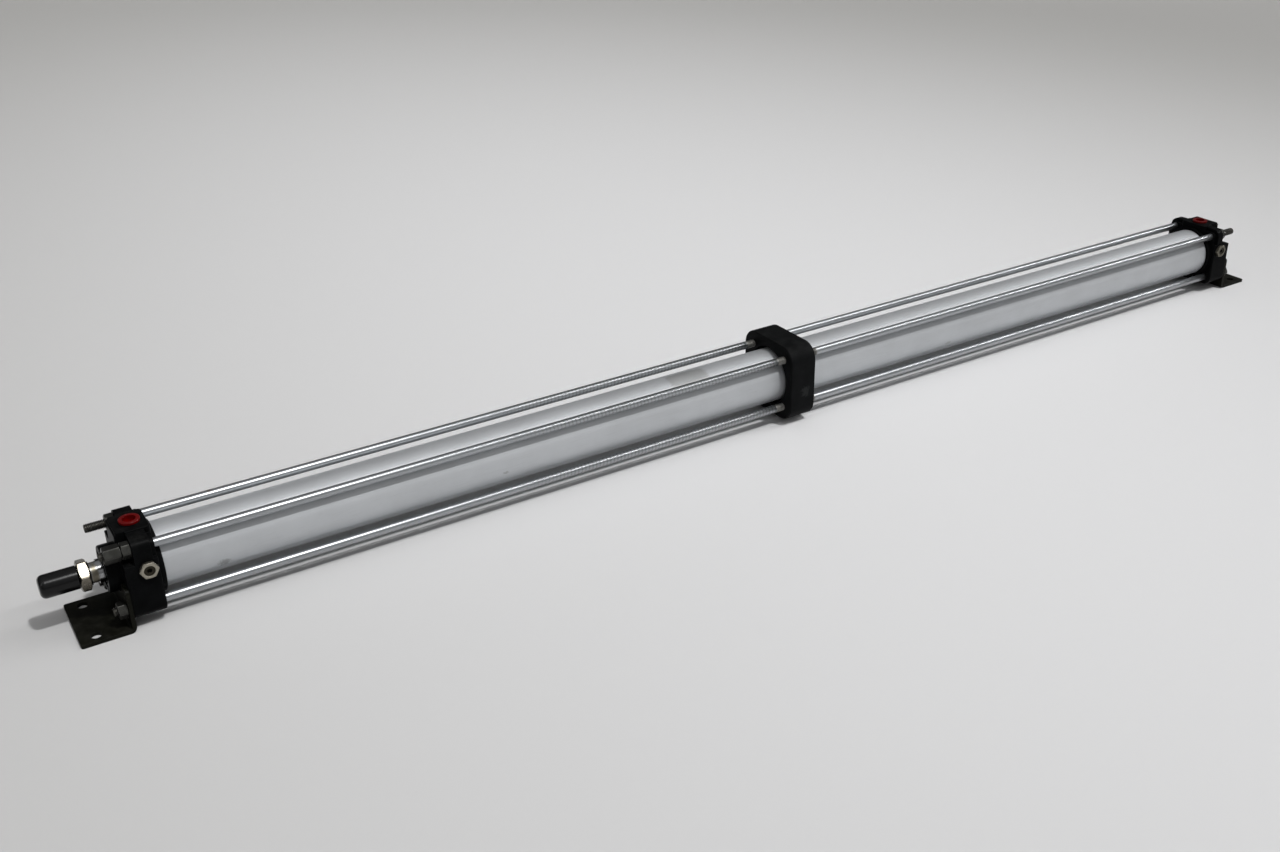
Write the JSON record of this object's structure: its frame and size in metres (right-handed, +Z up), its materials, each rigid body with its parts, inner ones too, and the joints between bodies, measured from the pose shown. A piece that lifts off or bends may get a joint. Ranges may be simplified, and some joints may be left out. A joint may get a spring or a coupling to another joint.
{
  "type": "tie rod pneumatic cylinder",
  "caption": "Long-stroke double-acting air cylinder with an aluminium tube held between two black covers by tie rods, a reinforcing ring at mid length and foot brackets.",
  "frame": {"origin": "centre of the four foot holes, on the floor plane under the feet", "axes": "+X along the cylinder towards the rear cover, the rod end at -X; +Z up from the floor"},
  "size_m": [1.437, 0.08, 0.085],
  "materials": {
    "anodised_tube": "satin anodised",
    "matt_black_ring": "matt black",
    "black_cover": "satin black over a casting",
    "foot_paint": "dark olive black, satin",
    "zinc_rod": "bright zinc",
    "dark_nut_steel": "dark steel, satin",
    "plain_steel": "plain",
    "nickel_nut": "bright nickel",
    "needle_steel": "plain, dull",
    "chrome_rod": "polished hard chrome",
    "piston_aluminium": "turned",
    "bronze_bush": "turned bronze",
    "seal_rubber": "moulded",
    "wear_ring_plastic": "moulded",
    "black_cap": "glossy black",
    "red_plug": "glossy red",
    "label_film": "silver film"
  },
  "bodies": {
    "cylinder": {"blank_label": "label_film", "cushion_seal_front": "seal_rubber", "cushion_seal_rear": "seal_rubber", "cylinder_tube": "anodised_tube", "front_cover": "black_cover", "front_foot": "foot_paint", "front_tie_rod_far_lower": "zinc_rod", "front_tie_rod_far_upper": "zinc_rod", "front_tie_rod_near_lower": "zinc_rod", "front_tie_rod_near_upper": "zinc_rod", "front_tie_rod_nuts": "dark_nut_steel", "long_nut": "dark_nut_steel", "needle_lock_nut_front": "nickel_nut", "needle_lock_nut_rear": "nickel_nut", "rear_cover": "black_cover", "rear_foot": "foot_paint", "rear_tie_rod_far_lower": "zinc_rod", "rear_tie_rod_far_upper": "zinc_rod", "rear_tie_rod_near_lower": "zinc_rod", "rear_tie_rod_near_upper": "zinc_rod", "rear_tie_rod_nuts": "dark_nut_steel", "reinforcing_ring": "matt_black_ring", "retaining_ring": "plain_steel", "rod_bush": "bronze_bush", "rod_seal": "seal_rubber", "seal_retainer": "plain_steel", "tube_gasket_front": "seal_rubber", "tube_gasket_rear": "seal_rubber"},
    "piston_seals": {"piston_seal": "seal_rubber", "wear_ring": "wear_ring_plastic"},
    "piston_rod": {"piston_rod": "chrome_rod", "piston": "piston_aluminium", "piston_gasket": "seal_rubber", "cushion_ring_front": "piston_aluminium", "cushion_ring_rear": "piston_aluminium", "piston_nut": "plain_steel"},
    "rod_nut": {"rod_jam_nut": "nickel_nut"},
    "thread_cap": {"thread_cap": "black_cap"},
    "needle_ring_front": {"needle_o_ring_front": "seal_rubber"},
    "needle_front": {"cushion_needle_front": "needle_steel"},
    "plug_front": {"port_plug_front": "red_plug"},
    "needle_ring_rear": {"needle_o_ring_rear": "seal_rubber"},
    "needle_rear": {"cushion_needle_rear": "needle_steel"},
    "plug_rear": {"port_plug_rear": "red_plug"}
  },
  "joints": [
    {"name": "rod_slide", "type": "slide", "parent": "cylinder", "child": "piston_seals", "axis": [-1, 0, 0], "range_m": [0, 1.25]},
    {"name": "rod_turn", "type": "hinge", "parent": "piston_seals", "child": "piston_rod", "pos_m": [0, 0, 0.045], "axis": [-1, 0, 0], "continuous": true},
    {"name": "nut_turn", "type": "hinge", "parent": "piston_rod", "child": "rod_nut", "pos_m": [-0.693, 0, 0.045], "axis": [-1, 0, 0], "continuous": true},
    {"name": "cap_pull", "type": "slide", "parent": "piston_rod", "child": "thread_cap", "axis": [-1, 0, 0], "range_m": [0, 0.04]},
    {"name": "needle_travel_front", "type": "slide", "parent": "cylinder", "child": "needle_ring_front", "axis": [0, -1, 0], "range_m": [-0.00075, 0.0015]},
    {"name": "needle_turn_front", "type": "hinge", "parent": "needle_ring_front", "child": "needle_front", "pos_m": [-0.6488, -0.035, 0.0542], "axis": [0, -1, 0], "range_deg": [-361, 721]},
    {"name": "plug_pull_front", "type": "slide", "parent": "cylinder", "child": "plug_front", "axis": [0, 0, 1], "range_m": [0, 0.015]},
    {"name": "needle_travel_rear", "type": "slide", "parent": "cylinder", "child": "needle_ring_rear", "axis": [0, -1, 0], "range_m": [-0.00075, 0.0015]},
    {"name": "needle_turn_rear", "type": "hinge", "parent": "needle_ring_rear", "child": "needle_rear", "pos_m": [0.6488, -0.035, 0.0542], "axis": [0, -1, 0], "range_deg": [-361, 721]},
    {"name": "plug_pull_rear", "type": "slide", "parent": "cylinder", "child": "plug_rear", "axis": [0, 0, 1], "range_m": [0, 0.015]}
  ],
  "couplings": [
    {"joint": "needle_turn_front", "follows": "needle_travel_front", "rad_per_m": 8377.6},
    {"joint": "needle_turn_rear", "follows": "needle_travel_rear", "rad_per_m": 8377.6}
  ]
}
